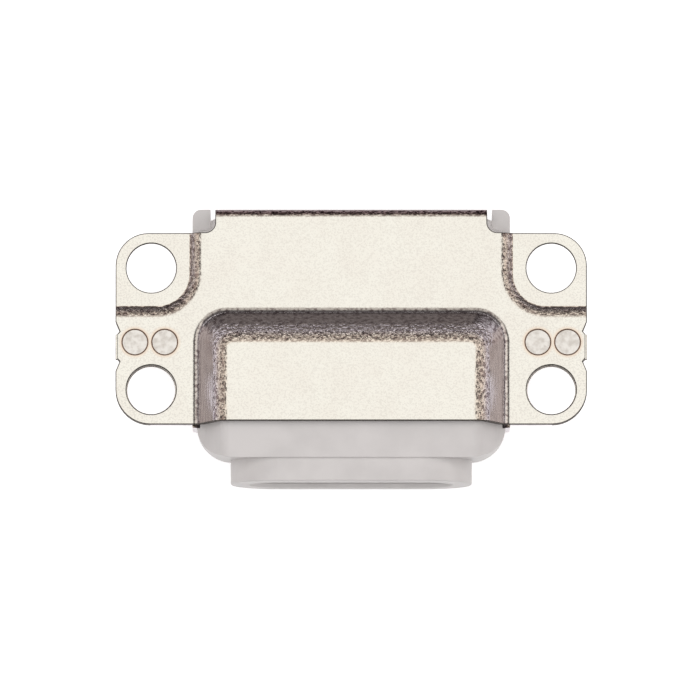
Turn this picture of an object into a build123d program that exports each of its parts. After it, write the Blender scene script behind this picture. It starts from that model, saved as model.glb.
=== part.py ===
from build123d import *
from math import atan2, cos, degrees, radians, tan
import os

os.makedirs("parts", exist_ok=True)

# All sizes are millimetres. +X is the length of the ears, +Y the rear, where the
# solder tails are, and +Z the side of the raised box. The origin is the centre of
# the four screw holes, on the plane where the ears seat, which is also the middle
# plane of the plug.

# Stock and fits
sheet = 0.25                   # plated steel of both shells
fit = 0.02                     # between the moulding and the shells
slot_gap = 0.06                # each side of a contact in its channel
blade_gap = 0.02               # each side of a spring blade in its slot

# Ears, measured out from the screw holes
pitch_x = 14.0
pitch_y = 4.3
hole_r = 0.87
base_hole_r = 0.84             # the lower plate shows as a thin ledge in the front holes
side_margin = 1.25
front_margin = 1.22
rear_margin = 1.23
front_corner_r = 1.22
rear_corner_r = 1.15
ear_half = pitch_x / 2 + side_margin
ear_front = -pitch_y / 2 - front_margin
ear_rear = pitch_y / 2 + rear_margin

# Break-off notches of the carrier strip: a mirrored pair on the outer edge of each ear
notch_depth = 0.145
notch_y = -0.63                # middle between the two
notch_outer = 0.87             # where each notch leaves the edge, from that middle
notch_deepest = 0.53
notch_inner = 0.44
notch_land = 0.065             # the upper plate stands back this far between the two

# Spot-weld marks, two on each ear
weld_x = 7.05
weld_spread = 1.04
weld_y = -0.48
weld_r = 0.455
weld_depth = 0.03
weld_lean = 30

# Pan of the base shell, inner faces
pan_half = 5.31
pan_proud = 0.1                # the pan reaches this far ahead of the ears
pan_depth = 1.7                # from the origin plane down to the inner floor
pan_bend_r = 0.35
pan_lip = 0.45                 # floor left along the walls beside the tails
pan_wall_gap = 0.04            # wall ends stand back from the ear's rear edge
pan_wall_drop = 0.05           # wall top below the seating plane, under the pads
ear_bend_r = 0.3
base_ear_rear = 0.2
underside = -(pan_depth + sheet)
pan_front = ear_front - pan_proud
pan_wall_rear = ear_rear - pan_wall_gap

# Drawn levels of the cover, outer face: deck above the base ears, pads one sheet lower
deck_top = 2 * sheet
pad_top = sheet
pad_margin = 1.36              # from a rear hole to the foot of the step round its pad
pad_lean = 45
pad_corner_r = 1.15
pad_foot_r = 0.08              # sharp at the foot, soft at the edge above it
pad_edge_r = 0.5
pad_x = pitch_x / 2 - pad_margin
pad_y = pitch_y / 2 - pad_margin

# Drawn box over the plug, its walls above those of the pan
box_rise = 1.5
box_rear = 0.6
box_side_lean = 25
box_rear_lean = 32
box_foot_corner_r = 1.0
box_top_corner_r = 0.65
box_foot_r = 0.32
box_top_r = 0.65
box_overhang = 0.07            # foot of its side walls outside the pan's inner faces
box_half = pan_half + box_overhang
box_top = deck_top + box_rise

# Rear flange of the cover
flange_y = 4.21
flange_bottom = -0.9
flange_bend_r = 0.32
flange_notch_r = 0.35

# Plug space: an oblong pocket with round ends
plug_half = 3.45
plug_height = 1.7
plug_end = 0.05
plug_end_chamfer = 0.3
plug_lead_in = 0.12
plug_r = plug_height / 2

# Plastic moulding: shoulder and nose
shoulder_length = 1.26         # ahead of the ears
shoulder_flare = 0.11          # wider than the block behind it
shoulder_corner_r = 1.25
shoulder_under_r = 1.1
nose_length = 0.83
nose_side_wall = 0.775
nose_wall = 0.79
nose_edge = 0.04
block_half = pan_half - fit
block_floor = -pan_depth + fit
shoulder_half = block_half + shoulder_flare
shoulder_front = ear_front - shoulder_length
shoulder_rear = pan_front - fit
nose_front = shoulder_front - nose_length
nose_half = plug_half + nose_side_wall
nose_height = plug_height + 2 * nose_wall

# Plastic moulding: rear face and corner posts
flange_gap = 0.08              # between the rear face and the flange
post_gap = 0.17                # between a post and the end of the flange
post_lap = 0.36                # width of post that stands behind the block
post_width = 0.63
post_proud = 0.07              # posts stand past the flange
post_step = 0.08               # behind the pan's wall ends
post_top = -0.5
post_corner_r = 0.3
relief_draft = 0.17            # how far the corner wall leans out from top to post
relief_corner_r = 0.2
housing_rear = flange_y - sheet - flange_gap
post_inner = block_half - post_lap
post_outer = post_inner + post_width
flange_half = post_inner - post_gap
post_front = pan_wall_rear + post_step
post_rear = flange_y + post_proud
relief_angle = degrees(atan2(relief_draft, sheet - post_top))

# Contact strips
contact_count = 8
contact_pitch = 0.7
contact_width = 0.3
contact_gauge = 0.12
strip_rise = 0.38              # strip's middle above the moulding's floor
tail_lift = 0.02               # tails stand clear of the underside by this
tail_inset = 0.11              # tail ends in front of the flange's outer face
tail_length = 1.1
tail_run = 0.25
end_wall = 0.7                 # moulding between the plug space and the carrier
root_cover = 0.2               # strip held inside the carrier's front face
bend_r = 0.16
crest_r = 0.35
strip_z = block_floor + strip_rise
tail_z = underside + tail_lift + contact_gauge / 2
tail_end = flange_y - tail_inset
carrier_front = plug_end + end_wall
signal_x = [(index - (contact_count - 1) / 2) * contact_pitch for index in range(contact_count)]
detect_x = (contact_count + 1) / 2 * contact_pitch

# Crest and tip of each beam: distance ahead of the plug space's end, height over its floor
signal_crest = (plug_end - 1.75, 0.21 - plug_r)
signal_tip = (plug_end - 2.3, -0.08 - plug_r)
detect_crest = (plug_end - 0.4, 0.39 - plug_r)
detect_tip = (plug_end - 0.8, 0.11 - plug_r)

# Channels that the beams move in
channel_front_gap = 0.3        # ahead of a contact's tip
channel_depth = 0.15           # below the middle of the strip
channel_roof = -0.3            # channels open this high into the end of the plug space
channel_width = contact_width + 2 * slot_gap
channel_floor = strip_z - channel_depth

# Contact carrier
carrier_wall = 0.2             # beside the outermost strips
carrier_cover = 0.35           # above the middle of the strip
carrier_chamfer = 0.15
carrier_half = detect_x + contact_width / 2 + carrier_wall
carrier_roof = strip_z + carrier_cover

# Side latch springs
blade_gauge = 0.15
blade_wall = 0.35              # from the carrier's side to the middle of the blade
latch_reach = 0.15             # crest's middle inside the side of the plug space
latch_flare = 0.32
latch_crest_y = plug_end - 2.65
latch_tip_length = 0.6
latch_tip_half = 0.22
latch_root_half = 0.275
anchor_top = -0.1
anchor_height = 0.65
anchor_length = 2.1
leg_width = 0.6
foot_height = 0.25
latch_room = 0.3               # outside the blade, for it to bend away
blade_x = carrier_half + blade_wall
latch_crest_x = plug_half - latch_reach
latch_tip_x = latch_crest_x + latch_flare
latch_tip_y = latch_crest_y - latch_tip_length
latch_root_y = plug_end + 0.05
latch_anchor_y = plug_end + 0.45
anchor_bottom = anchor_top - anchor_height
anchor_rear = latch_anchor_y + anchor_length
leg_front = anchor_rear - leg_width
foot_z = underside + tail_lift
latch_room_half = latch_root_half + slot_gap

# The pan's floor ends ahead of the springs' legs, and opens between its side lips
pan_floor_gap = 0.2
pan_rear = leg_front - pan_floor_gap
pan_window_half = pan_half - pan_lip

far = 9.0                      # beyond the part on every side
near = 0.001                   # how close an edge lies to the face it is picked by


def leaning_shift(inset, lean):
    """How far the foot of a leaning wall moves in when its face is set back by inset."""
    return inset * (1 / cos(radians(lean)) - tan(radians(lean)))


def drawn_form(inset, bottom):
    """The solid under the drawn sheet, with every face set back by inset."""
    reach = far + inset
    rear = flange_y - inset
    deck = deck_top - inset
    top = box_top - inset
    pad = pad_top - inset
    side_shift = leaning_shift(inset, box_side_lean)
    rear_shift = leaning_shift(inset, box_rear_lean)
    side_run = box_rise * tan(radians(box_side_lean))
    rear_run = box_rise * tan(radians(box_rear_lean))
    foot_half = box_half - side_shift
    foot_rear = box_rear - rear_shift
    pad_shift = leaning_shift(inset, pad_lean)
    bend_r_at_rear = flange_bend_r - inset
    with BuildPart() as form:
        with BuildSketch(Plane.XY.offset(bottom)):
            Rectangle(2 * reach, 2 * reach)
        extrude(amount=deck - bottom)
        for side in (-1, 1):
            with BuildSketch(Plane.XY.offset(pad)) as pocket:
                with Locations((side * (pad_x - pad_shift), pad_y - pad_shift)):
                    Rectangle(
                        2 * reach,
                        2 * reach,
                        align=(Align.MIN if side > 0 else Align.MAX, Align.MIN),
                    )
                corner = pocket.vertices().group_by(Axis.Y)[0].sort_by(lambda v: abs(v.X))[0]
                fillet(corner, pad_corner_r + inset)
            extrude(amount=sheet, taper=-pad_lean, mode=Mode.SUBTRACT)
        step_edges = form.edges().filter_by(
            lambda e: abs(e.center().X) < reach - near and abs(e.center().Y) < reach - near
        )
        fillet(step_edges.filter_by(lambda e: abs(e.center().Z - pad) < near), pad_foot_r + inset)
        fillet(step_edges.filter_by(lambda e: abs(e.center().Z - deck) < near), pad_edge_r - inset)
        with BuildSketch(Plane.XY.offset(deck)) as foot:
            with Locations((0, foot_rear)):
                Rectangle(2 * foot_half, reach + foot_rear, align=(Align.CENTER, Align.MAX))
            fillet(foot.vertices().group_by(Axis.Y)[-1], box_foot_corner_r - inset)
        with BuildSketch(Plane.XY.offset(top)) as crown:
            with Locations((0, foot_rear - rear_run)):
                Rectangle(
                    2 * (foot_half - side_run),
                    reach + foot_rear - rear_run,
                    align=(Align.CENTER, Align.MAX),
                )
            fillet(crown.vertices().group_by(Axis.Y)[-1], box_top_corner_r - inset)
        loft(ruled=True)
        crown_edges = form.edges().filter_by(lambda e: e.bounding_box().min.Z > top - near)
        fillet(crown_edges.filter_by(lambda e: e.center().Y > near - reach), box_top_r - inset)
        foot_edges = form.edges().filter_by(
            lambda e: abs(e.bounding_box().min.Z - deck) < near
            and abs(e.bounding_box().max.Z - deck) < near
            and abs(e.center().X) < foot_half + near
            and near - reach < e.center().Y < foot_rear + near
        )
        fillet(foot_edges, box_foot_r + inset)
        with BuildSketch(Plane.YZ.offset(-reach)):
            with BuildLine():
                bend = RadiusArc(
                    (rear - bend_r_at_rear, deck), (rear, deck - bend_r_at_rear), bend_r_at_rear
                )
                Polyline(
                    bend @ 1,
                    (rear, bottom),
                    (2 * reach, bottom),
                    (2 * reach, top),
                    (rear - bend_r_at_rear, top),
                    bend @ 0,
                )
            make_face()
        extrude(amount=2 * reach, mode=Mode.SUBTRACT)
    return form.part


def strip(x, points, radii):
    """A contact strip bent along points in the plane X = x, with a bend radius at each corner."""
    with BuildLine(Plane.YZ.offset(x)) as path:
        FilletPolyline(*points, radius=radii)
    start = Plane(origin=path.line @ 0, x_dir=(1, 0, 0), z_dir=path.line % 0)
    with BuildPart() as bent:
        with BuildSketch(start):
            Rectangle(contact_width, contact_gauge)
        sweep(path=path.line)
    return bent.part


def contact(x, crest, tip):
    """A solder tail, a rise into the carrier, and a beam with a crest and a dipped tip."""
    points = [
        (tail_end, tail_z),
        (tail_end - tail_length, tail_z),
        (tail_end - tail_length - tail_run, strip_z),
        (carrier_front + root_cover, strip_z),
        crest,
        tip,
    ]
    return strip(x, points, [bend_r, bend_r, bend_r, crest_r])


# Outline of each notch, from the ear's edge in to its deepest point and back out
notches = []
for side in (-1, 1):
    for end in (-1, 1):
        notches.append(
            [
                (side * far, notch_y + end * notch_outer),
                (side * ear_half, notch_y + end * notch_outer),
                (side * (ear_half - notch_depth), notch_y + end * notch_deepest),
                (side * (ear_half - notch_land), notch_y + end * notch_inner),
                (side * far, notch_y + end * notch_inner),
            ]
        )

# Drawn forms: the cover's two faces and the moulding under it
outer_form = drawn_form(0, flange_bottom)
inner_form = drawn_form(sheet, flange_bottom - 1)
core_form = drawn_form(sheet + fit, block_floor)

# Cover shell: ears, joggled pads, box and rear flange drawn from one sheet
with BuildPart() as cover_shell:
    add(outer_form)
    add(inner_form, mode=Mode.SUBTRACT)
    with BuildSketch(Plane.XY.offset(flange_bottom)) as outline:
        with Locations((0, ear_front)):
            Rectangle(2 * ear_half, ear_rear - ear_front, align=(Align.CENTER, Align.MIN))
        fillet(outline.vertices().group_by(Axis.Y)[0], front_corner_r)
        fillet(outline.vertices().group_by(Axis.Y)[-1], rear_corner_r)
        with Locations((0, ear_front)):
            Rectangle(2 * flange_half, far, align=(Align.CENTER, Align.MIN))
        inner_corners = outline.vertices().filter_by(
            lambda v: abs(abs(v.X) - flange_half) < near and abs(v.Y - ear_rear) < near
        )
        fillet(inner_corners, flange_notch_r)
        with GridLocations(pitch_x, pitch_y, 2, 2):
            Circle(hole_r, mode=Mode.SUBTRACT)
        for notch in notches:
            Polygon(*notch, align=None, mode=Mode.SUBTRACT)
        with Locations((ear_half - notch_land, notch_y)):
            Rectangle(far, 2 * notch_inner, align=(Align.MIN, Align.CENTER), mode=Mode.SUBTRACT)
        with Locations((-(ear_half - notch_land), notch_y)):
            Rectangle(far, 2 * notch_inner, align=(Align.MAX, Align.CENTER), mode=Mode.SUBTRACT)
    extrude(amount=2 * far, mode=Mode.INTERSECT)
    with BuildSketch(Plane.XY.offset(deck_top)):
        for ear_x in (-weld_x, weld_x):
            with Locations((ear_x - weld_spread / 2, weld_y), (ear_x + weld_spread / 2, weld_y)):
                Circle(weld_r)
    extrude(amount=-weld_depth, taper=weld_lean, mode=Mode.SUBTRACT)
cover_shell.part.label = "cover_shell"
export_step(cover_shell.part, "parts/cover_shell.step")

# Base shell: a pan with ears that lie under the front halves of the cover's ears
with BuildPart() as base_shell:
    with BuildSketch(Plane.XZ.offset(-pan_wall_rear)):
        with BuildLine():
            FilletPolyline(
                (-ear_half, sheet),
                (-pan_half, sheet),
                (-pan_half, -pan_depth),
                (pan_half, -pan_depth),
                (pan_half, sheet),
                (ear_half, sheet),
                radius=[ear_bend_r, pan_bend_r, pan_bend_r, ear_bend_r],
            )
            offset(amount=sheet, side=Side.RIGHT, closed=True)
        make_face()
    extrude(amount=pan_wall_rear - pan_front)
    with BuildSketch(Plane.XY.offset(underside)):
        with Locations((-(pan_half + sheet), ear_front)):
            Rectangle(far, far, align=(Align.MAX, Align.MAX))
        with Locations((pan_half + sheet, ear_front)):
            Rectangle(far, far, align=(Align.MIN, Align.MAX))
    extrude(amount=far, mode=Mode.SUBTRACT)
    with BuildSketch(Plane.XY.offset(-pan_wall_drop)):
        with Locations((0, base_ear_rear)):
            Rectangle(2 * far, far, align=(Align.CENTER, Align.MIN))
    extrude(amount=far, mode=Mode.SUBTRACT)
    with BuildSketch(Plane.XY.offset(underside)):
        with Locations((0, pan_rear)):
            Rectangle(2 * pan_window_half, far, align=(Align.CENTER, Align.MIN))
    extrude(amount=2 * sheet, mode=Mode.SUBTRACT)
    with BuildSketch(Plane.XY):
        with Locations((-pitch_x / 2, -pitch_y / 2), (pitch_x / 2, -pitch_y / 2)):
            Circle(base_hole_r)
    extrude(amount=sheet, mode=Mode.SUBTRACT)
    ear_corners = base_shell.edges().filter_by(Axis.Z).filter_by(
        lambda e: abs(e.center().X) > ear_half - near and e.center().Y < 0
    )
    fillet(ear_corners, front_corner_r)
    with BuildSketch(Plane.XY):
        for notch in notches:
            Polygon(*notch, align=None)
    extrude(amount=sheet, mode=Mode.SUBTRACT)
base_shell.part.label = "base_shell"
export_step(base_shell.part, "parts/base_shell.step")

# Contact strips: eight signal contacts and one detect contact at each end of the row
signal_contacts = []
for index, x in enumerate(signal_x):
    piece = contact(x, signal_crest, signal_tip)
    piece.label = f"signal_contact_{index + 1}"
    export_step(piece, f"parts/signal_contact_{index + 1}.step")
    signal_contacts.append(piece)

detect_contacts = []
for side, name in ((-1, "left"), (1, "right")):
    piece = contact(side * detect_x, detect_crest, detect_tip)
    piece.label = f"detect_contact_{name}"
    export_step(piece, f"parts/detect_contact_{name}.step")
    detect_contacts.append(piece)

# Latch springs: a flat blank bent in plan, with a crest for the notch of the plug
for side, name in ((-1, "left"), (1, "right")):
    with BuildPart() as latch_spring:
        with BuildSketch(Plane.XY.offset(foot_z)):
            with BuildLine():
                FilletPolyline(
                    (side * blade_x, tail_end),
                    (side * blade_x, latch_root_y),
                    (side * latch_crest_x, latch_crest_y),
                    (side * latch_tip_x, latch_tip_y),
                    radius=[crest_r, crest_r],
                )
                offset(amount=blade_gauge / 2, side=Side.BOTH)
            make_face()
        extrude(amount=latch_root_half - foot_z)
        with BuildSketch(Plane.YZ.offset(-far)):
            with BuildLine():
                Polyline(
                    (latch_tip_y, latch_tip_half),
                    (latch_root_y, latch_root_half),
                    (latch_anchor_y, anchor_top),
                    (anchor_rear, anchor_top),
                    (anchor_rear, foot_z + foot_height),
                    (tail_end, foot_z + foot_height),
                    (tail_end, foot_z),
                    (leg_front, foot_z),
                    (leg_front, anchor_bottom),
                    (latch_anchor_y, anchor_bottom),
                    (latch_root_y, -latch_root_half),
                    (latch_tip_y, -latch_tip_half),
                    close=True,
                )
            make_face()
        extrude(amount=2 * far, mode=Mode.INTERSECT)
    latch_spring.part.label = f"latch_spring_{name}"
    export_step(latch_spring.part, f"parts/latch_spring_{name}.step")

# Contact carrier: the wafer moulded round the strips, behind and below the plug space
with BuildPart() as contact_carrier:
    with BuildSketch(Plane.XY.offset(block_floor)):
        with Locations((0, carrier_front)):
            Rectangle(2 * carrier_half, housing_rear - carrier_front, align=(Align.CENTER, Align.MIN))
    extrude(amount=carrier_roof - block_floor)
    rear_edges = contact_carrier.edges().filter_by(Axis.X).group_by(Axis.Y)[-1]
    chamfer(rear_edges.sort_by(Axis.Z)[0], carrier_chamfer)
    for piece in signal_contacts + detect_contacts:
        add(piece, mode=Mode.SUBTRACT)
contact_carrier.part.label = "contact_carrier"
export_step(contact_carrier.part, "parts/contact_carrier.step")

# Plug space: an obround pocket with a chamfered inner end
with BuildPart() as plug_space:
    with BuildSketch(Plane.XZ.offset(-nose_front)):
        SlotOverall(2 * plug_half, plug_height)
    extrude(amount=nose_front - plug_end)
    chamfer(plug_space.faces().sort_by(Axis.Y)[-1].edges(), plug_end_chamfer)

# Shoulder of the housing: it carries on the box's section ahead of the shells
with BuildPart() as shoulder:
    add(core_form)
    with BuildSketch(Plane.XY.offset(-pan_depth)) as shoulder_plan:
        with Locations((0, shoulder_front)):
            Rectangle(2 * shoulder_half, far, align=(Align.CENTER, Align.MIN))
        fillet(shoulder_plan.vertices().group_by(Axis.Y)[0], shoulder_corner_r)
        with Locations((0, shoulder_rear)):
            Rectangle(2 * far, far, align=(Align.CENTER, Align.MIN), mode=Mode.SUBTRACT)
    extrude(amount=box_top + pan_depth, mode=Mode.INTERSECT)
    under_edges = shoulder.edges().group_by(Axis.Z)[0]
    fillet(under_edges.filter_by(lambda e: e.center().Y < shoulder_rear - near), shoulder_under_r)

# Housing: nose, shoulder, block and rear posts in one grey moulding
with BuildPart() as housing:
    add(core_form)
    with BuildSketch(Plane.XY.offset(-pan_depth)):
        with Locations((0, shoulder_rear)):
            Rectangle(2 * block_half, housing_rear - shoulder_rear, align=(Align.CENTER, Align.MIN))
    extrude(amount=box_top + pan_depth, mode=Mode.INTERSECT)
    fillet(housing.edges().filter_by(Axis.Y).group_by(Axis.Z)[0], pan_bend_r + fit)
    add(shoulder.part)
    with BuildSketch(Plane.XZ.offset(-nose_front)):
        SlotOverall(2 * nose_half, nose_height)
    extrude(amount=nose_front - shoulder_front - shoulder_under_r)
    nose_rim = housing.edges().filter_by(lambda e: e.bounding_box().max.Y < nose_front + near)
    chamfer(nose_rim, nose_edge)
    for side in (-1, 1):
        with BuildSketch(Plane.XY.offset(block_floor)) as post:
            with Locations((side * (post_inner + post_outer) / 2, post_front)):
                Rectangle(
                    post_outer - post_inner,
                    post_rear - post_front,
                    align=(Align.CENTER, Align.MIN),
                )
            rear_pair = post.vertices().group_by(Axis.Y)[-1].sort_by(lambda v: abs(v.X))
            fillet(rear_pair[-1], post_corner_r)
        extrude(amount=post_top - block_floor)
        with BuildSketch(Plane.XY.offset(post_top)) as relief:
            with Locations((side * post_inner, ear_rear + relief_draft)):
                Rectangle(far, far, align=(Align.MIN if side > 0 else Align.MAX, Align.MIN))
            corner = relief.vertices().group_by(Axis.Y)[0].sort_by(lambda v: abs(v.X))[0]
            fillet(corner, relief_corner_r)
        extrude(amount=far / 4, taper=-relief_angle, mode=Mode.SUBTRACT)
    add(plug_space.part, mode=Mode.SUBTRACT)
    front_edges = housing.edges().filter_by(lambda e: e.bounding_box().max.Y < nose_front + near)
    mouth = front_edges.filter_by(lambda e: e.bounding_box().size.Z < plug_height + near)
    chamfer(mouth.filter_by(lambda e: abs(e.center().Z) < plug_r + near), plug_lead_in)
    with BuildSketch(Plane.XY.offset(-pan_depth)):
        with Locations((0, carrier_front)):
            Rectangle(2 * carrier_half, far, align=(Align.CENTER, Align.MIN))
    extrude(amount=carrier_roof + pan_depth, mode=Mode.SUBTRACT)
    with BuildSketch(Plane.XY.offset(channel_floor)):
        for places, tip in ((signal_x, signal_tip), ((-detect_x, detect_x), detect_tip)):
            channel_front = tip[0] - channel_front_gap
            for x in places:
                with Locations((x, channel_front)):
                    Rectangle(
                        channel_width,
                        carrier_front - channel_front,
                        align=(Align.CENTER, Align.MIN),
                    )
    extrude(amount=channel_roof - channel_floor, mode=Mode.SUBTRACT)
    for side in (-1, 1):
        with BuildSketch(Plane.XY.offset(-latch_room_half)):
            with Locations((side * (plug_half - plug_r / 2), latch_tip_y - latch_room)):
                Rectangle(
                    blade_x + latch_room - plug_half + plug_r / 2,
                    latch_anchor_y + blade_gap - latch_tip_y + latch_room,
                    align=(Align.MIN if side > 0 else Align.MAX, Align.MIN),
                )
        extrude(amount=2 * latch_room_half, mode=Mode.SUBTRACT)
        with BuildSketch(Plane.YZ.offset(side * blade_x)):
            with BuildLine():
                Polyline(
                    (latch_anchor_y - blade_gap, anchor_top + blade_gap),
                    (far, anchor_top + blade_gap),
                    (far, -2 * pan_depth),
                    (leg_front - blade_gap, -2 * pan_depth),
                    (leg_front - blade_gap, anchor_bottom - blade_gap),
                    (latch_anchor_y - blade_gap, anchor_bottom - blade_gap),
                    close=True,
                )
            make_face()
        extrude(amount=blade_gauge / 2 + blade_gap, both=True, mode=Mode.SUBTRACT)
housing.part.label = "housing"
export_step(housing.part, "parts/housing.step")
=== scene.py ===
"""Finishes and studio for a tablet charging socket, a board connector in a plated shell."""
import math

import bmesh
import bpy
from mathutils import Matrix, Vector


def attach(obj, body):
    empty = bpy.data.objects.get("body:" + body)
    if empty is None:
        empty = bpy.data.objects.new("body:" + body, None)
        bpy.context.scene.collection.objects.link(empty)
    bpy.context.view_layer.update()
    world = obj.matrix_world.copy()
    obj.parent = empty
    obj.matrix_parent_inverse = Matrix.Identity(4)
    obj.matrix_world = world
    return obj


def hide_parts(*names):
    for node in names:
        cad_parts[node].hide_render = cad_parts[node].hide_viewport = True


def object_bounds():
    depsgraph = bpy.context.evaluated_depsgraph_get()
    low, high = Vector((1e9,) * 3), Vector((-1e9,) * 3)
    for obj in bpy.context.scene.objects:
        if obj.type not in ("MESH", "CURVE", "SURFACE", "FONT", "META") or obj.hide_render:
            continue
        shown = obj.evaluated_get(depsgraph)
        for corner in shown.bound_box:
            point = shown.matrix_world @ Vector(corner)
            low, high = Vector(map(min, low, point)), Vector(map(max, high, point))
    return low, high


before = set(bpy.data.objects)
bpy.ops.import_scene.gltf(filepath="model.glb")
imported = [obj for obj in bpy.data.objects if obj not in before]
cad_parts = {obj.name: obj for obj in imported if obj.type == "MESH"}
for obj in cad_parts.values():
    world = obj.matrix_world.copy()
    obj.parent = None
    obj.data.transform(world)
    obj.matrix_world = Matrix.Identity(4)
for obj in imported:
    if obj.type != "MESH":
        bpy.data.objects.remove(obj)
CAD_BOX = [list(corner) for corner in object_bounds()]

bl_info = {
    "name": "Tablet Charging Socket Finishes",
    "version": (1, 0, 0),
    "blender": (4, 5, 0),
    "location": "3D View > Sidebar > Socket",
    "description": "Dresses the socket's CAD pieces and sets up a plain studio",
    "category": "Object",
}

MM = 0.001
SIGNAL_CONTACTS = [f"signal_contact_{number}" for number in range(1, 9)]
DETECT_CONTACTS = ["detect_contact_left", "detect_contact_right"]
LATCH_SPRINGS = ["latch_spring_left", "latch_spring_right"]

# Places on the CAD pieces that a finish follows
WELD_PLACES = (6.53 * MM, 7.57 * MM)  # distance of each weld mark from the middle, on both ears
WELD_Y = -0.48 * MM
WELD_RADIUS = 0.455 * MM
FLANGE_Y = 3.9 * MM                   # behind this the cover's sheet hangs down
DARK_BEND_Y = 4.0 * MM                    # and behind this its rear bend is painted dark
BASE_EAR_X = 5.75 * MM                # outside this an upright face of the base is a cut
CROWN_Z = (1.2 * MM, 1.5 * MM)        # the convex bend at the top of the box starts here
LIP_Z = (0.505 * MM, 0.47 * MM)       # and the convex bend down to the rear pads here
GOLD_END_Y = 0.4 * MM                 # the beams are gold as far back as this
TAIL_PLATING_Y = 2.85 * MM            # and the tails behind this

# How upright a normal is where a zone of the sheet starts and where it is whole
LEVEL = (0.96, 0.999)
WALL = (0.55, 0.45)
WALL_SHADE = (0.97, 0.6)
DARK_BEND_UPRIGHT = (0.97, 0.88)
STRAW = (0.6, 0.88, 0.985, 1.0)       # it starts, is whole, starts to end, and has ended
FLANGE_FACE = 0.06                    # under this it is the flange's own flat

# How much of a cut face's normal lies along an axis
ALONG = 0.9
ACROSS = 0.1

# How far a weld mark's blur and its brown line lie from its radius
WELD_BLUR = (-0.03 * MM, 0.01 * MM)
WELD_LINE = -0.005 * MM
WELD_LINE_REACH = 0.025 * MM
WELD_MARGIN = 0.02 * MM

# What a pattern is squeezed by along its lines: 0.1 draws them ten times as long as wide
DRAW_SQUEEZE = 0.12
BREAK_SQUEEZE = 0.2
CONTACT_SQUEEZE = 0.05
BLADE_SQUEEZE = 0.04

# Rounding of the cut edges
JOIN_DISTANCE = 0.0005 * MM
FLAT_ANGLE = math.radians(0.5)        # triangles within this are one flat face
EDGE_ANGLE = math.radians(50)         # a convex edge as sharp as this was cut
CREASE_ANGLE = math.radians(40)       # the shading breaks at this
ROUNDING_STEPS = 3
FLAT_WEIGHT = 100                     # large flats decide the shading at their rims

RESIN_IOR = 1.55

# Linear RGB of the lamps
WHITE = (1.0, 1.0, 1.0)
CREAM = (1.0, 0.94, 0.92)
PALE_PINK = (1.0, 0.92, 0.96)

# Softboxes: name, azimuth from the rear towards the right and zenith from overhead, half of the
# angles that it fills, the setting of its brightness, the share of that, and its colour
SOFTBOXES = (
    ("overhead_softbox", (0, 6), (21, 17), "overhead", 1.0, WHITE),
    ("rear_softbox", (0, 36), (40, 13), "rear", 1.0, CREAM),
    ("low_rear_softbox", (0, 55), (40, 6), "rear", 0.5, CREAM),
    ("right_softbox", (90, 61), (35, 18), "side", 1.1, CREAM),
    ("left_softbox", (270, 61), (35, 18), "side", 0.9, CREAM),
    ("front_softbox", (180, 72), (30, 14), "front", 1.0, WHITE),
)
SOFTBOX_DISTANCE = 0.3
OVERHEAD = (0, 0)
FILL_SPREAD = (40, 40)
FILL_DISTANCE = 0.4
SENSOR_WIDTH = 36.0
FLOOR_REACH = 1.5


def linear(hex_colour):
    """The linear RGB values of an sRGB hex colour."""
    values = []
    for start in (0, 2, 4):
        channel = int(hex_colour[start:start + 2], 16) / 255
        if channel <= 0.04045:
            values.append(channel / 12.92)
        else:
            values.append(((channel + 0.055) / 1.055) ** 2.4)
    return tuple(values)


def rgba(colour):
    """A colour with full alpha, as a shader socket takes it."""
    return (*colour, 1.0)


def add_node(tree, kind, inputs=None, stops=(), **settings):
    """Adds a node with its settings and links.

    An input goes by its name, or by its number where names repeat. It takes a value, a socket or
    another node's first result. The stops are the places and colours of a colour ramp.
    """
    made = tree.nodes.new(kind)
    for name, value in settings.items():
        setattr(made, name, value)
    for number, (place, colour) in enumerate(stops):
        elements = made.color_ramp.elements
        element = elements[number] if number < len(elements) else elements.new(place)
        element.position = place
        element.color = rgba(colour)
    live = [socket for socket in made.inputs if socket.enabled]
    for key, value in (inputs or {}).items():
        if isinstance(key, str):
            socket = next(socket for socket in live if socket.name == key)
        else:
            socket = live[key]
        if isinstance(value, bpy.types.Node):
            value = next(result for result in value.outputs if result.enabled)
        if isinstance(value, bpy.types.NodeSocket):
            tree.links.new(value, socket)
        else:
            socket.default_value = value
    return made


def new_material(name):
    """A material with an empty node tree."""
    material = bpy.data.materials.new(name)
    material.use_nodes = True
    material.node_tree.nodes.clear()
    return material, material.node_tree


def cells_per_metre(size):
    """The scale that gives a noise pattern cells of this real size."""
    return 1.0 / size


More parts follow.
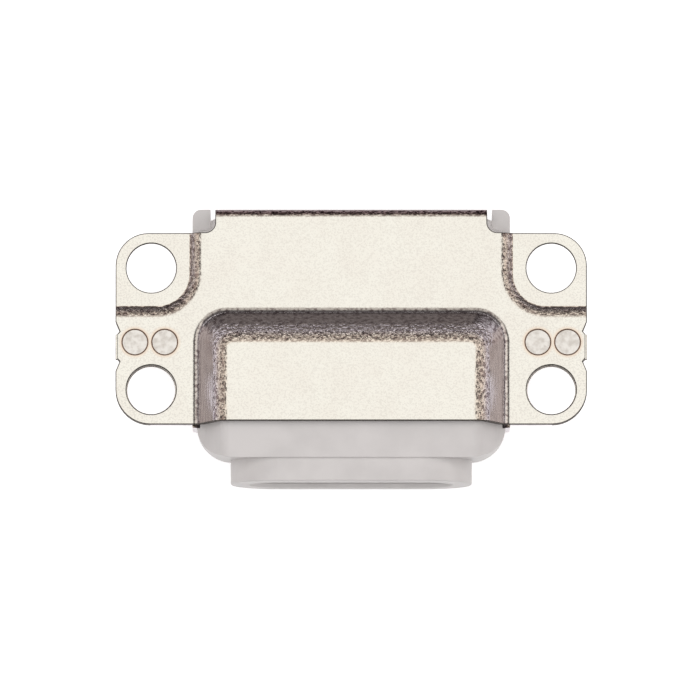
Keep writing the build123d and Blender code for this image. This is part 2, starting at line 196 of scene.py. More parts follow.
def plated_steel(sheet):
    """Satin nickel, electroplated on deep-drawn stainless steel sheet."""
    # To the eye it is a warm pale satin where level, and grained where a bend stretches it, with
    # painted shade in its pits.
    # On the walls it has fine lines and a painted shade of greyer purple, and the rear bend
    # carries a painted dark reflection
    material, tree = new_material("satin_nickel_on_drawn_stainless")
    place = add_node(tree, "ShaderNodeTexCoord").outputs["Object"]
    apart = add_node(tree, "ShaderNodeSeparateXYZ", {"Vector": place})
    normal = add_node(tree, "ShaderNodeNewGeometry").outputs["Normal"]
    facing = add_node(tree, "ShaderNodeSeparateXYZ", {"Vector": normal})
    sideways, backward, upright = (
        add_node(tree, "ShaderNodeMath", {0: facing.outputs[axis]}, operation="ABSOLUTE")
        for axis in "XYZ"
    )
    # 1 on level faces, 0 on bends and walls
    level = add_node(
        tree, "ShaderNodeMapRange", {"Value": upright, "From Min": LEVEL[0], "From Max": LEVEL[1]}
    )
    # 1 on walls, 0 on bends and level faces
    walls = add_node(
        tree, "ShaderNodeMapRange", {"Value": upright, "From Min": WALL[0], "From Max": WALL[1]}
    )
    # 1 on the convex bends, which lie high on the box or low on the plate
    high = add_node(
        tree,
        "ShaderNodeMapRange",
        {"Value": apart.outputs["Z"], "From Min": CROWN_Z[0], "From Max": CROWN_Z[1]},
    )
    low = add_node(
        tree,
        "ShaderNodeMapRange",
        {"Value": apart.outputs["Z"], "From Min": LIP_Z[0], "From Max": LIP_Z[1]},
    )
    convex = add_node(tree, "ShaderNodeMath", {0: high, 1: low}, operation="MAXIMUM")

    # Orange peel of the stretched plate and pits of the level plate. The real ones are a few
    # hundredths of a millimetre wide, too fine to show here, so both are drawn coarser
    grain = add_node(
        tree,
        "ShaderNodeTexNoise",
        {"Vector": place, "Scale": cells_per_metre(sheet.grain_width), "Detail": 1.0},
    )
    fine = add_node(
        tree,
        "ShaderNodeTexNoise",
        {"Vector": place, "Scale": cells_per_metre(sheet.pit_width), "Detail": 1.0},
    )
    # Draw lines, which run with the bends along the side walls and the rear wall. They too are
    # wider than the real scratches
    along_x = add_node(
        tree, "ShaderNodeMapping", {"Vector": place, "Scale": (DRAW_SQUEEZE, 1.0, 1.0)}
    )
    along_y = add_node(
        tree, "ShaderNodeMapping", {"Vector": place, "Scale": (1.0, DRAW_SQUEEZE, 1.0)}
    )
    side_wall = add_node(
        tree, "ShaderNodeMath", {0: sideways, 1: backward}, operation="GREATER_THAN"
    )
    stretched = add_node(
        tree,
        "ShaderNodeMix",
        {"Factor": side_wall, "A": along_x, "B": along_y},
        data_type="VECTOR",
    )
    striation = add_node(
        tree,
        "ShaderNodeTexNoise",
        {"Vector": stretched, "Scale": cells_per_metre(sheet.striation_width), "Detail": 2.0},
    )
    relief = add_node(tree, "ShaderNodeMix", {"Factor": walls, "A": grain, "B": striation})
    # The relief is high on convex bends, and low in the foot of the box and on flats
    bent = add_node(
        tree, "ShaderNodeMapRange", {"Value": convex, "To Min": sheet.foot_grain, "To Max": 1.0}
    )
    raised = add_node(
        tree, "ShaderNodeMix", {"Factor": walls, "A": bent, "B": sheet.wall_grain}
    )
    stretch = add_node(
        tree, "ShaderNodeMix", {"Factor": level, "A": raised, "B": sheet.grain_strength}
    )
    bump = add_node(
        tree,
        "ShaderNodeBump",
        {"Strength": stretch, "Distance": sheet.grain_depth, "Height": relief},
    )

    # Broad cream and pinkish clouds in the plate
    mottle = add_node(
        tree,
        "ShaderNodeTexNoise",
        {"Vector": place, "Scale": cells_per_metre(sheet.mottle_width), "Detail": 3.0},
    )
    plate = add_node(
        tree,
        "ShaderNodeValToRGB",
        {"Fac": mottle},
        stops=[(0.35, sheet.plate_shade), (0.62, sheet.plate_colour)],
    )
    # Painted shade: the walls go to a darker purple grey as they turn away from upright
    wall_shade = add_node(
        tree,
        "ShaderNodeMapRange",
        {"Value": upright, "From Min": WALL_SHADE[0], "From Max": WALL_SHADE[1]},
        interpolation_type="SMOOTHSTEP",
    )
    drawn = add_node(
        tree,
        "ShaderNodeMix",
        {"Factor": wall_shade, "A": plate, "B": rgba(sheet.wall_shade_colour)},
        data_type="RGBA",
    )
    # Painted dark reflection: the rear bend, behind the box, turns dark where it curves down to
    # the flange
    dark_bend = add_node(
        tree, "ShaderNodeMapRange", {"Value": upright, "From Min": DARK_BEND_UPRIGHT[0], "From Max": DARK_BEND_UPRIGHT[1]}
    )
    curved = add_node(
        tree, "ShaderNodeMath", {0: upright, 1: FLANGE_FACE}, operation="GREATER_THAN"
    )
    behind = add_node(
        tree, "ShaderNodeMath", {0: apart.outputs["Y"], 1: DARK_BEND_Y}, operation="GREATER_THAN"
    )
    for limit in (curved, behind):
        dark_bend = add_node(tree, "ShaderNodeMath", {0: dark_bend, 1: limit}, operation="MULTIPLY")
    dark_bend_laid = add_node(
        tree,
        "ShaderNodeMix",
        {"Factor": dark_bend, "A": drawn, "B": rgba(sheet.dark_bend_colour)},
        data_type="RGBA",
    )
    # Thin plate goes straw brown where it is stretched over the top of a convex bend
    straw = add_node(
        tree,
        "ShaderNodeValToRGB",
        {"Fac": upright},
        stops=zip(STRAW, (WHITE, sheet.straw_colour, sheet.straw_colour, WHITE)),
    )
    toned = add_node(
        tree,
        "ShaderNodeMix",
        {"Factor": convex, "A": dark_bend_laid, "B": straw},
        data_type="RGBA",
        blend_type="MULTIPLY",
    )
    # Painted shade in the pits between the grains and along the draw lines, most of it on bends
    depth = add_node(tree, "ShaderNodeMix", {"Factor": level, "A": relief, "B": fine})
    pits = add_node(
        tree,
        "ShaderNodeValToRGB",
        {"Fac": depth},
        stops=[(0.36, sheet.painted_pit_shade), (0.54, WHITE)],
    )
    steep = add_node(
        tree,
        "ShaderNodeMapRange",
        {"Value": walls, "To Min": sheet.bend_pits, "To Max": sheet.wall_pits},
    )
    pitting = add_node(
        tree,
        "ShaderNodeMapRange",
        {"Value": level, "To Min": steep, "To Max": sheet.pit_share},
    )
    pit_shaded = add_node(
        tree,
        "ShaderNodeMix",
        {"Factor": pitting, "A": toned, "B": pits},
        data_type="RGBA",
        blend_type="MULTIPLY",
    )

    # Weld marks: blotted grey spots in a straw heat tint
    across = add_node(tree, "ShaderNodeMath", {0: apart.outputs["X"]}, operation="ABSOLUTE")
    flat = add_node(tree, "ShaderNodeCombineXYZ", {"X": across, "Y": apart.outputs["Y"]})
    inner, outer = (
        add_node(
            tree, "ShaderNodeVectorMath", {0: flat, 1: (weld_x, WELD_Y, 0.0)}, operation="DISTANCE"
        )
        for weld_x in WELD_PLACES
    )
    nearest = add_node(tree, "ShaderNodeMath", {0: inner, 1: outer}, operation="MINIMUM")
    spot = add_node(
        tree,
        "ShaderNodeMapRange",
        {
            "Value": nearest,
            "From Min": WELD_RADIUS + WELD_BLUR[0],
            "From Max": WELD_RADIUS + WELD_BLUR[1],
            "To Min": 1.0,
            "To Max": 0.0,
        },
        interpolation_type="SMOOTHSTEP",
    )
    halo = add_node(
        tree,
        "ShaderNodeMapRange",
        {
            "Value": nearest,
            "From Min": WELD_RADIUS,
            "From Max": WELD_RADIUS + sheet.tint_reach,
            "To Min": sheet.tint_share,
            "To Max": 0.0,
        },
        interpolation_type="SMOOTHSTEP",
    )
    tinted = add_node(
        tree,
        "ShaderNodeMix",
        {"Factor": halo, "A": pit_shaded, "B": rgba(sheet.tint_colour)},
        data_type="RGBA",
    )
    blot = add_node(
        tree,
        "ShaderNodeTexNoise",
        {"Vector": place, "Scale": cells_per_metre(sheet.blot_width), "Detail": 2.0},
    )
    welded = add_node(
        tree,
        "ShaderNodeValToRGB",
        {"Fac": blot},
        stops=[(0.35, sheet.weld_shade), (0.6, sheet.weld_colour)],
    )
    spotted = add_node(
        tree, "ShaderNodeMix", {"Factor": spot, "A": tinted, "B": welded}, data_type="RGBA"
    )
    # A thin brown line where the melt stopped
    rim = add_node(
        tree,
        "ShaderNodeMath",
        {0: nearest, 1: WELD_RADIUS + WELD_LINE, 2: WELD_LINE_REACH},
        operation="COMPARE",
    )
    ringed = add_node(
        tree,
        "ShaderNodeMix",
        {"Factor": rim, "A": spotted, "B": rgba(sheet.rim_colour)},
        data_type="RGBA",
    )
    matt = add_node(
        tree,
        "ShaderNodeMix",
        {"Factor": spot, "A": sheet.roughness, "B": sheet.weld_roughness},
    )
    surface = add_node(
        tree,
        "ShaderNodeBsdfPrincipled",
        {"Base Color": ringed, "Metallic": 1.0, "Roughness": matt, "Normal": bump},
    )
    add_node(tree, "ShaderNodeOutputMaterial", {"Surface": surface})
    return material


def sheared_edge_and_shade(sheet):
    """Bare stainless steel, sheared by the punch and left unplated."""
    # To the eye it is a dull, dark brown-grey line round the bright sheet, broken across by the
    # punch. Its darkness is partly the bare steel and partly painted shade, and on the cover it is
    # also laid on the rounded rims as a painted dark reflection.
    # Its break lines are drawn wider than the real ones so that they show
    material, tree = new_material("sheared_steel_with_painted_shade")
    place = add_node(tree, "ShaderNodeTexCoord").outputs["Object"]
    stretched = add_node(
        tree, "ShaderNodeMapping", {"Vector": place, "Scale": (1.0, 1.0, BREAK_SQUEEZE)}
    )
    lines = add_node(
        tree,
        "ShaderNodeTexNoise",
        {"Vector": stretched, "Scale": cells_per_metre(sheet.break_width), "Detail": 2.0},
    )
    tone = add_node(
        tree,
        "ShaderNodeValToRGB",
        {"Fac": lines},
        stops=[(0.35, sheet.edge_shade), (0.7, sheet.edge_steel_and_shade)],
    )
    bump = add_node(
        tree,
        "ShaderNodeBump",
        {"Strength": sheet.break_strength, "Distance": sheet.grain_depth, "Height": lines},
    )
    surface = add_node(
        tree,
        "ShaderNodeBsdfPrincipled",
        {
            "Base Color": tone,
            "Metallic": 1.0,
            "Roughness": sheet.edge_roughness,
            "Normal": bump,
        },
    )
    add_node(tree, "ShaderNodeOutputMaterial", {"Surface": surface})
    return material


def moulded_plastic(name, colour, shade, roughness, moulding):
    """Glass-filled liquid crystal polymer, moulded in a spark-eroded cavity."""
    # To the eye it is an even, softly shining plastic, a little cloudy where the fibres flowed.
    # The texture of the mould is drawn coarser than real, because it is too fine to show
    material, tree = new_material(name)
    place = add_node(tree, "ShaderNodeTexCoord").outputs["Object"]
    grain = add_node(
        tree,
        "ShaderNodeTexNoise",
        {"Vector": place, "Scale": cells_per_metre(moulding.grain_width), "Detail": 2.0},
    )
    flow = add_node(
        tree,
        "ShaderNodeTexNoise",
        {"Vector": place, "Scale": cells_per_metre(moulding.flow_width), "Detail": 4.0},
    )
    tone = add_node(
        tree, "ShaderNodeValToRGB", {"Fac": flow}, stops=[(0.35, shade), (0.6, colour)]
    )
    bump = add_node(
        tree,
        "ShaderNodeBump",
        {
            "Strength": moulding.grain_strength,
            "Distance": moulding.grain_depth,
            "Height": grain,
        },
    )
    surface = add_node(
        tree,
        "ShaderNodeBsdfPrincipled",
        {"Base Color": tone, "Roughness": roughness, "IOR": RESIN_IOR, "Normal": bump},
    )
    add_node(tree, "ShaderNodeOutputMaterial", {"Surface": surface})
    return material


def plated_contact(contacts):
    """Phosphor bronze strip, rolled, stamped and plated with nickel and selective gold."""
    # To the eye it is warm gold at both ends and pale nickel between, with faint lines of the
    # rolling along the strip, drawn wider than real so that they show
    material, tree = new_material("selective_gold_on_phosphor_bronze")
    place = add_node(tree, "ShaderNodeTexCoord").outputs["Object"]
    along = add_node(tree, "ShaderNodeSeparateXYZ", {"Vector": place}).outputs["Y"]
    # Gold stops short of the carrier on the beam, and starts again on the tail
    front = add_node(tree, "ShaderNodeMath", {0: along, 1: GOLD_END_Y}, operation="GREATER_THAN")
    rear = add_node(tree, "ShaderNodeMath", {0: along, 1: TAIL_PLATING_Y}, operation="LESS_THAN")
    bare = add_node(tree, "ShaderNodeMath", {0: front, 1: rear}, operation="MULTIPLY")
    colour = add_node(
        tree,
        "ShaderNodeMix",
        {
            "Factor": bare,
            "A": rgba(contacts.gold_colour),
            "B": rgba(contacts.nickel_colour),
        },
        data_type="RGBA",
    )
    stretched = add_node(
        tree,
        "ShaderNodeMapping",
        {"Vector": place, "Scale": (1.0, CONTACT_SQUEEZE, CONTACT_SQUEEZE)},
    )
    lines = add_node(
        tree,
        "ShaderNodeTexNoise",
        {"Vector": stretched, "Scale": cells_per_metre(contacts.line_width), "Detail": 1.0},
    )
    bump = add_node(
        tree,
        "ShaderNodeBump",
        {
            "Strength": contacts.contact_lines,
            "Distance": contacts.line_depth,
            "Height": lines,
        },
    )
    surface = add_node(
        tree,
        "ShaderNodeBsdfPrincipled",
        {
            "Base Color": colour,
            "Metallic": 1.0,
            "Roughness": contacts.contact_roughness,
            "Normal": bump,
        },
    )
    add_node(tree, "ShaderNodeOutputMaterial", {"Surface": surface})
    return material


def spring_steel(contacts):
    """Stainless steel strip, rolled hard and blanked."""
    # To the eye it is a neutral bright grey, with reflections drawn out into streaks along the
    # blade. The rolling grain is drawn coarser than real, because it is too fine to show
    material, tree = new_material("rolled_stainless_spring_steel")
    place = add_node(tree, "ShaderNodeTexCoord").outputs["Object"]
    stretched = add_node(
        tree, "ShaderNodeMapping", {"Vector": place, "Scale": (1.0, BLADE_SQUEEZE, 1.0)}
    )
    grain = add_node(
        tree,
        "ShaderNodeTexNoise",
        {"Vector": stretched, "Scale": cells_per_metre(contacts.line_width), "Detail": 2.0},
    )
    tone = add_node(
        tree,
        "ShaderNodeValToRGB",
        {"Fac": grain},
        stops=[(0.3, contacts.steel_shade), (0.7, contacts.steel_colour)],
    )
    bump = add_node(
        tree,
        "ShaderNodeBump",
        {
            "Strength": contacts.spring_lines,
            "Distance": contacts.line_depth,
            "Height": grain,
        },
    )
    surface = add_node(
        tree,
        "ShaderNodeBsdfPrincipled",
        {
            "Base Color": tone,
            "Metallic": 1.0,
            "Roughness": contacts.spring_roughness,
            "Normal": bump,
        },
    )
    add_node(tree, "ShaderNodeOutputMaterial", {"Surface": surface})
    return material


def dress(node, material):
    """Gives a CAD node its finish in place."""
    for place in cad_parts[node].material_slots:
        place.material = material


def cover_cut(face):
    """Whether a face of the cover is where the sheet was cut through."""
    normal = face.normal
    if face.calc_center_median().y > FLANGE_Y:
        return abs(normal.x) > ALONG or normal.z < -ALONG
    return abs(normal.z) < ACROSS


def base_cut(face):
    """Whether a face of the base is where the sheet was cut through."""
    return abs(face.normal.z) < ACROSS and abs(face.calc_center_median().x) > BASE_EAR_X


def on_weld(point):
    """Whether a point lies on a weld mark, whose shallow rim isn't a cut edge."""
    return point.z > 0 and any(
        math.hypot(abs(point.x) - weld_x, point.y - WELD_Y) < WELD_RADIUS + WELD_MARGIN
        for weld_x in WELD_PLACES
    )


def marked_mesh(node, is_cut):
    """A copy of a CAD mesh in whole flat faces, with its cut faces and cut edges marked."""
    shape = bmesh.new()
    shape.from_mesh(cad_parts[node].data)
    bmesh.ops.remove_doubles(shape, verts=shape.verts, dist=JOIN_DISTANCE)
    bmesh.ops.dissolve_limit(
        shape,
        angle_limit=FLAT_ANGLE,
        verts=shape.verts,
        edges=shape.edges,
        use_dissolve_boundaries=False,
        delimit=set(),
    )
    weight = shape.edges.layers.float.new("bevel_weight_edge")
    for edge in shape.edges:
        edge.smooth = True
        sharp = edge.is_convex and edge.calc_face_angle() >= EDGE_ANGLE
        if sharp and not on_weld((edge.verts[0].co + edge.verts[1].co) / 2):
            edge[weight] = 1.0
    for face in shape.faces:
        face.material_index = 1 if is_cut and is_cut(face) else 0
    mesh = bpy.data.meshes.new(node + "_marked")
    shape.to_mesh(mesh)
    shape.free()
    # The normals of the CAD mesh no longer fit its copy
    mesh.attributes.remove(mesh.attributes["custom_normal"])
    return mesh


def rounded_piece(node, radius, material, cut_material=None, is_cut=None, painted_dark_rim=False):
    """A copy of a CAD node with its cut edges rounded over, which stands for the node."""
    marked = marked_mesh(node, is_cut)
    marked.materials.append(material)
    if cut_material:
        marked.materials.append(cut_material)
    piece = bpy.data.objects.new(node + "_finished", marked)
    bpy.context.scene.collection.objects.link(piece)
    rounding = piece.modifiers.new("edge_rounding", "BEVEL")
    rounding.limit_method = "WEIGHT"
    rounding.offset_type = "OFFSET"
    rounding.width = radius
    rounding.segments = ROUNDING_STEPS
    rounding.use_clamp_overlap = False
    rounding.miter_outer = "MITER_ARC"
    if painted_dark_rim:
        # Painted dark reflection: the cover's rounded rims take the dark cut-edge finish
        rounding.material = 1
    bpy.context.view_layer.update()
    finished = bpy.data.meshes.new_from_object(
        piece.evaluated_get(bpy.context.evaluated_depsgraph_get())
    )
    piece.modifiers.clear()
    piece.data = finished
    bpy.data.meshes.remove(marked)
    finished.name = node + "_finished"
    finishes = {}
    for face in finished.polygons:
        face.use_smooth = True
        for key in face.edge_keys:
            finishes.setdefault(key, set()).add(face.material_index)
    finished.set_sharp_from_angle(angle=CREASE_ANGLE)
    # The rim of a cut doesn't bend the shading of the flat beside it
    for edge in finished.edges:
        if len(finishes[edge.key]) > 1:
            edge.use_edge_sharp = True
    weighted = piece.modifiers.new("face_weighted_normals", "WEIGHTED_NORMAL")
    weighted.keep_sharp = True
    weighted.weight = FLAT_WEIGHT
    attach(piece, "root")
    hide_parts(node)


class SOCKET_OT_shells(bpy.types.Operator):
    """Finish the two plated shells"""

    bl_idname = "socket.shells"
    bl_label = "Plated Shells"

    def execute(self, context):
        sheet = context.scene.socket_sheet
        plate, edge = plated_steel(sheet), sheared_edge_and_shade(sheet)
        rounded_piece(
            "cover_shell", sheet.edge_round, plate, edge, cover_cut, painted_dark_rim=True
        )
        rounded_piece("base_shell", sheet.base_edge_round, plate, edge, base_cut)
        return {"FINISHED"}


class SOCKET_OT_housing(bpy.types.Operator):
    """Finish the grey moulding: nose, shoulder, block and rear posts"""

    bl_idname = "socket.housing"
    bl_label = "Grey Moulding"

    def execute(self, context):
        moulding = context.scene.socket_moulding
        grey = moulded_plastic(
            "liquid_crystal_polymer_moulded_grey",
            moulding.grey_colour,
            moulding.grey_shade,
            moulding.grey_roughness,
            moulding,
        )
        dress("housing", grey)
        return {"FINISHED"}


class SOCKET_OT_carrier(bpy.types.Operator):
    """Finish the dark wafer that holds the contacts"""

    bl_idname = "socket.carrier"
    bl_label = "Contact Carrier"

    def execute(self, context):
        moulding = context.scene.socket_moulding
        dark = moulded_plastic(
            "liquid_crystal_polymer_moulded_dark",
            moulding.dark_colour,
            moulding.dark_shade,
            moulding.dark_roughness,
            moulding,
        )
        dress("contact_carrier", dark)
        return {"FINISHED"}


class SOCKET_OT_contacts(bpy.types.Operator):
    """Finish the eight signal contacts and the two detect contacts"""

    bl_idname = "socket.contacts"
    bl_label = "Contacts"

    def execute(self, context):
        contacts = context.scene.socket_contacts
        material = plated_contact(contacts)
        for node in SIGNAL_CONTACTS + DETECT_CONTACTS:
            rounded_piece(node, contacts.edge_round, material)
        return {"FINISHED"}


class SOCKET_OT_latch_springs(bpy.types.Operator):
    """Finish the two springs that catch the notches of the plug"""

    bl_idname = "socket.latch_springs"
    bl_label = "Latch Springs"

    def execute(self, context):
        contacts = context.scene.socket_contacts
        material = spring_steel(contacts)
        for node in LATCH_SPRINGS:
            rounded_piece(node, contacts.edge_round, material)
        return {"FINISHED"}


def set_camera(scene, studio):
    """Places the camera at the height of the photograph's view."""
    camera = bpy.data.cameras.new("photo_camera")
    camera.sensor_width = SENSOR_WIDTH
    camera.lens = SENSOR_WIDTH * studio.camera_distance / studio.view_width
    holder = bpy.data.objects.new("photo_camera", camera)
    scene.collection.objects.link(holder)
    target = Vector((studio.aim_x, studio.aim_y, studio.aim_z))
    away = Vector((0.0, -math.cos(studio.elevation), math.sin(studio.elevation)))
    holder.location = target + away * studio.camera_distance
    holder.rotation_euler = away.to_track_quat("Z", "Y").to_euler()
    scene.camera = holder


def softbox(scene, name, toward, spread, distance, brightness, colour):
    """A rectangular lamp that faces the part; its spread is half the angles that it fills."""
    size = [2 * distance * math.tan(math.radians(angle)) for angle in spread]
    lamp = bpy.data.lights.new(name, "AREA")
    lamp.shape = "RECTANGLE"
    lamp.size, lamp.size_y = size
    # A lamp's power for a face of this brightness
    lamp.energy = brightness * math.pi * size[0] * size[1]
    lamp.color = colour
    holder = bpy.data.objects.new(name, lamp)
    scene.collection.objects.link(holder)
    azimuth, zenith = (math.radians(angle) for angle in toward)
    direction = Vector(
        (
            math.sin(zenith) * math.sin(azimuth),
            math.sin(zenith) * math.cos(azimuth),
            math.cos(zenith),
        )
    )
    holder.location = direction * distance
    holder.rotation_euler = direction.to_track_quat("Z", "Y").to_euler()
    holder.visible_camera = False
    return holder


def set_lamps(scene, studio):
    """Places the softboxes that the bends reflect, the fill and the dim room round them."""
    for name, toward, spread, setting, part, colour in SOFTBOXES:
        brightness = getattr(studio, setting) * part
        softbox(scene, name, toward, spread, SOFTBOX_DISTANCE, brightness, colour)
    fill = softbox(
        scene, "overhead_fill", OVERHEAD, FILL_SPREAD, FILL_DISTANCE, studio.fill, WHITE
    )
    fill.visible_glossy = False
    world = bpy.data.worlds.new("dim_room")
    world.use_nodes = True
    world.node_tree.nodes.clear()
    room = add_node(
        world.node_tree,
        "ShaderNodeBackground",
        {"Color": rgba(PALE_PINK), "Strength": studio.room},
    )
    add_node(world.node_tree, "ShaderNodeOutputWorld", {"Surface": room})
    scene.world = world


def white_card(studio):
    """Matt white card that keeps the shadow and shows white where it is lit."""
    # To the eye it is a plain white ground: it glows just enough to reach white for the camera
    # and in reflections, and gives the part itself no more light than bare card does
    material, tree = new_material("white_card")
    light = add_node(tree, "ShaderNodeLightPath")
    seen = light.outputs["Is Camera Ray"]
    for ray in ("Is Glossy Ray", "Is Transmission Ray"):
        seen = add_node(
            tree, "ShaderNodeMath", {0: seen, 1: light.outputs[ray]}, operation="MAXIMUM"
        )
    strength = add_node(
        tree, "ShaderNodeMath", {0: seen, 1: studio.floor_lift}, operation="MULTIPLY"
    )
    card = add_node(tree, "ShaderNodeBsdfDiffuse", {"Color": rgba(studio.card_colour)})
    lift = add_node(
        tree, "ShaderNodeEmission", {"Color": rgba(WHITE), "Strength": strength}
    )
    both = add_node(tree, "ShaderNodeAddShader", {0: card, 1: lift})
    # Nothing of the card is seen from below, so the underside can be looked at
    back = add_node(tree, "ShaderNodeNewGeometry").outputs["Backfacing"]
    clear = add_node(tree, "ShaderNodeBsdfTransparent")
    sided = add_node(tree, "ShaderNodeMixShader", {0: back, 1: both, 2: clear})
    add_node(tree, "ShaderNodeOutputMaterial", {"Surface": sided})
    return material


def lay_floor(scene, studio):
    """Lays the card a hair under the part."""
    reach, level = FLOOR_REACH, CAD_BOX[0][2] - studio.floor_gap
    mesh = bpy.data.meshes.new("floor")
    corners = ((-reach, -reach), (reach, -reach), (reach, reach), (-reach, reach))
    mesh.from_pydata([(x, y, level) for x, y in corners], [], [(0, 1, 2, 3)])
    mesh.materials.append(white_card(studio))
    floor = bpy.data.objects.new("floor", mesh)
    scene.collection.objects.link(floor)


class SOCKET_OT_studio(bpy.types.Operator):
    """Set the camera, the lamps and a pale floor"""

    bl_idname = "socket.studio"
    bl_label = "Studio"

    def execute(self, context):
        scene = context.scene
        studio = scene.socket_studio
        set_camera(scene, studio)
        set_lamps(scene, studio)
        lay_floor(scene, studio)
        scene.view_settings.view_transform = "Standard"
        return {"FINISHED"}


def length(name, description, default):
    """A length setting, in metres."""
    return bpy.props.FloatProperty(
        name=name, description=description, default=default, unit="LENGTH", precision=6
    )


def tint(name, description, hex_colour):
    """A colour setting from an sRGB hex value."""
    return bpy.props.FloatVectorProperty(
        name=name, description=description, subtype="COLOR", size=3, default=linear(hex_colour)
    )


def share(name, description, default):
    """A plain factor from 0 up."""
    return bpy.props.FloatProperty(name=name, description=description, default=default, min=0.0)


class SocketSheet(bpy.types.PropertyGroup):
    """Colours and sizes of the plated sheets"""

    plate_colour: tint("Plate", "Nickel plate where it is cleanest", "E7E4D9")
    plate_shade: tint("Plate Shade", "Nickel plate where it is dullest", "E5E1D6")
    # Painted shade: the darker purple grey of the walls
    wall_shade_colour: tint("Drawn Wall", "Thinned plate on the drawn walls", "C5BDC2")
    straw_colour: tint("Straw Tone", "Thin plating over a convex bend", "FFF5EE")
    # Painted shade in the pits and draw lines
    painted_pit_shade: tint("Pit Shade", "What the pits leave of the light", "96888C")
    # Painted dark reflection on the rear bend
    dark_bend_colour: tint("Cracked Bend", "Steel that shows in the tight rear bend", "6E5E60")
    weld_colour: tint("Weld Mark", "Matt grey of the spot welds", "F4F0E8")
    weld_shade: tint("Weld Mark Shade", "Duller blots on the spot welds", "DAD4CB")
    rim_colour: tint("Weld Rim", "Brown line round the spot welds", "806A5C")
    blot_width: length("Weld Blot", "Size of the blots on the spot welds", 0.2 * MM)
    tint_colour: tint("Heat Tint", "Straw tint round the spot welds", "DFC3A8")
    tint_reach: length("Tint Reach", "Width of the heat tint", 0.15 * MM)
    tint_share: share("Tint Share", "How strong the heat tint is where it starts", 0.55)
    grain_width: length("Grain", "Width of one cell of the plating's orange peel", 0.13 * MM)
    pit_width: length("Pit", "Width of the pits of the plating", 0.06 * MM)
    grain_depth: length("Grain Depth", "Height of the orange peel on the bends", 0.08 * MM)
    grain_strength: share("Level Grain", "How much of that height level faces keep", 0.02)
    wall_grain: share("Wall Grain", "How much of that height the draw lines have", 0.12)
    foot_grain: share("Foot Grain", "How much of that height the foot of the box keeps", 0.06)
    bend_pits: share("Bend Pits", "How much the pits darken bends", 0.8)
    wall_pits: share("Wall Pits", "How much the draw lines darken walls", 0.3)
    pit_share: share("Level Pits", "How much the pits darken level faces", 0.13)
    striation_width: length("Draw Line", "Spacing of the draw lines on the walls", 0.06 * MM)
    mottle_width: length("Mottle", "Size of the cream and pink clouds", 0.9 * MM)
    roughness: share("Roughness", "Roughness of the plate", 0.2)
    weld_roughness: share("Weld Roughness", "Roughness of the spot welds", 0.35)
    edge_round: length("Edge Rounding", "Radius of the cover's cut edges", 0.03 * MM)
    base_edge_round: length("Base Edge Rounding", "Radius of the base's cut edges", 0.02 * MM)
    # Painted shade: the cut edges are darker than bare steel is
    edge_steel_and_shade: tint("Cut Edge", "Sheared steel where it is brightest", "5E5650")
    edge_shade: tint("Cut Edge Shade", "Break lines of the sheared steel", "403A36")
    edge_roughness: share("Cut Edge Roughness", "Roughness of the sheared steel", 0.5)
    break_width: length("Break Line", "Spacing of the break lines", 0.06 * MM)
    break_strength: share("Break Depth", "How much of the grain's height they have", 0.5)


class SocketMoulding(bpy.types.PropertyGroup):
    """Colours and sizes of the grey and the dark moulding"""

    grey_colour: tint("Grey", "Grey moulding where it is lightest", "D9D6D4")
    grey_shade: tint("Grey Shade", "Grey moulding in its flow clouds", "D2CFCD")
    grey_roughness: share("Grey Roughness", "Roughness of the grey moulding", 0.45)
    dark_colour: tint("Dark", "Contact carrier where it is lightest", "33322F")
    dark_shade: tint("Dark Shade", "Contact carrier in its flow clouds", "262523")
    dark_roughness: share("Dark Roughness", "Roughness of the contact carrier", 0.4)
    grain_width: length("Grain", "Width of one cell of the mould's texture", 0.08 * MM)
    grain_depth: length("Grain Depth", "Height of the mould's texture", 0.003 * MM)
    grain_strength: share("Grain Strength", "How much of that height shows", 0.5)
    flow_width: length("Flow", "Size of the flow clouds", 1.2 * MM)


class SocketContacts(bpy.types.PropertyGroup):
    """Colours and sizes of the contact strips and the latch springs"""

    gold_colour: tint("Gold", "Gold plate on beams and tails", "E3C27A")
    nickel_colour: tint("Nickel", "Nickel plate between the gold zones", "C4BFB4")
    contact_roughness: share("Contact Roughness", "Roughness of the plated strips", 0.24)
    steel_colour: tint("Spring Steel", "Latch springs where they are brightest", "C6C4C1")
    steel_shade: tint("Spring Steel Shade", "Rolling lines of the latch springs", "AFACA9")
    spring_roughness: share("Spring Roughness", "Roughness of the latch springs", 0.3)
    line_width: length("Rolling Line", "Spacing of the rolling lines", 0.05 * MM)
    line_depth: length("Rolling Line Depth", "Height of the rolling lines", 0.002 * MM)
    contact_lines: share("Contact Lines", "How much of that height the contacts have", 0.3)
    spring_lines: share("Spring Lines", "How much of that height the springs have", 0.4)
    edge_round: length("Edge Rounding", "Radius of the strips' cut edges", 0.012 * MM)


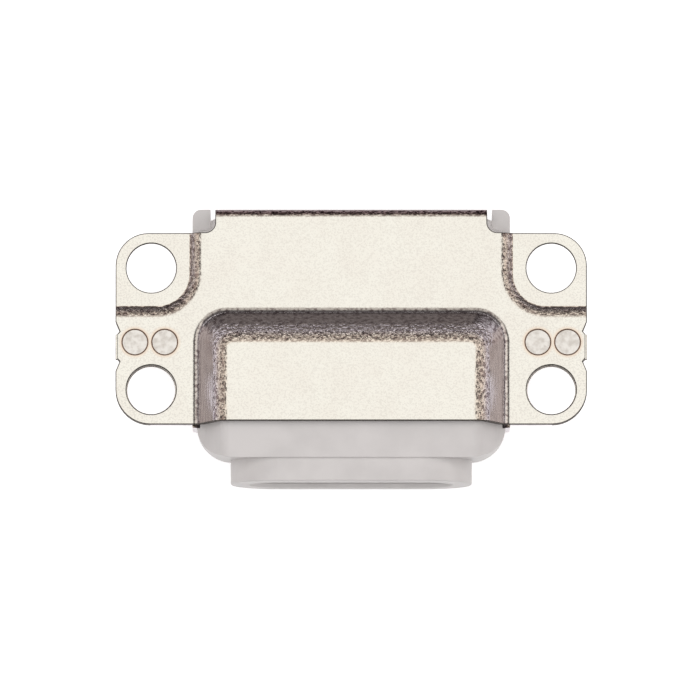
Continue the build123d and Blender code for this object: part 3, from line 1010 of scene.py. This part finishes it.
class SocketStudio(bpy.types.PropertyGroup):
    """Camera, lamps and floor"""

    elevation: bpy.props.FloatProperty(
        name="Elevation",
        description="Height of the camera over the horizon",
        default=math.radians(84.5),
        subtype="ANGLE",
    )
    camera_distance: length("Camera Distance", "From the part to the camera", 1.0)
    view_width: length("View Width", "Width of the picture at the part", 24.5 * MM)
    aim_x: length("Aim X", "Point at the middle of the picture", -0.044 * MM)
    aim_y: length("Aim Y", "Point at the middle of the picture", -0.74 * MM)
    aim_z: length("Aim Z", "Point at the middle of the picture", 0.3 * MM)
    overhead: share("Overhead", "Brightness of the softbox over the part", 1.08)
    rear: share("Rear", "Brightness of the softboxes behind the part", 0.5)
    side: share("Side", "Brightness of the softboxes beside the part", 0.85)
    fill: share("Fill", "Brightness of the lamp that only matt surfaces show", 0.8)
    front: share("Front", "Brightness of the softbox before the plug opening", 0.6)
    room: share("Room", "Brightness of the room round the lamps", 0.12)
    card_colour: tint("Card", "Colour of the floor's card", "F2F2F2")
    floor_gap: length("Floor Gap", "Hair of air between the floor and the part", 0.005 * MM)
    floor_lift: share("Floor Lift", "What makes the lit floor white in the picture", 0.6)


class SOCKET_PT_panel(bpy.types.Panel):
    """Finishes and studio of the socket"""

    bl_idname = "SOCKET_PT_panel"
    bl_label = "Charging Socket"
    bl_space_type = "VIEW_3D"
    bl_region_type = "UI"
    bl_category = "Socket"

    def draw(self, context):
        for name, group in SETTINGS.items():
            box = self.layout.box()
            for setting in group.__annotations__:
                box.prop(getattr(context.scene, name), setting)
        for operator in OPERATORS:
            self.layout.operator(operator.bl_idname)


OPERATORS = (
    SOCKET_OT_shells,
    SOCKET_OT_housing,
    SOCKET_OT_carrier,
    SOCKET_OT_contacts,
    SOCKET_OT_latch_springs,
    SOCKET_OT_studio,
)
SETTINGS = {
    "socket_sheet": SocketSheet,
    "socket_moulding": SocketMoulding,
    "socket_contacts": SocketContacts,
    "socket_studio": SocketStudio,
}


def register():
    """Adds the settings, the operators and the panel."""
    for name, group in SETTINGS.items():
        bpy.utils.register_class(group)
        setattr(bpy.types.Scene, name, bpy.props.PointerProperty(type=group))
    for operator in OPERATORS:
        bpy.utils.register_class(operator)
    bpy.utils.register_class(SOCKET_PT_panel)


def unregister():
    """Takes the panel, the operators and the settings away again."""
    bpy.utils.unregister_class(SOCKET_PT_panel)
    for operator in reversed(OPERATORS):
        bpy.utils.unregister_class(operator)
    for name, group in SETTINGS.items():
        delattr(bpy.types.Scene, name)
        bpy.utils.unregister_class(group)


def main():
    """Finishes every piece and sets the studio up."""
    register()
    bpy.ops.socket.shells()
    bpy.ops.socket.housing()
    bpy.ops.socket.carrier()
    bpy.ops.socket.contacts()
    bpy.ops.socket.latch_springs()
    bpy.ops.socket.studio()


if __name__ == "__main__":
    main()
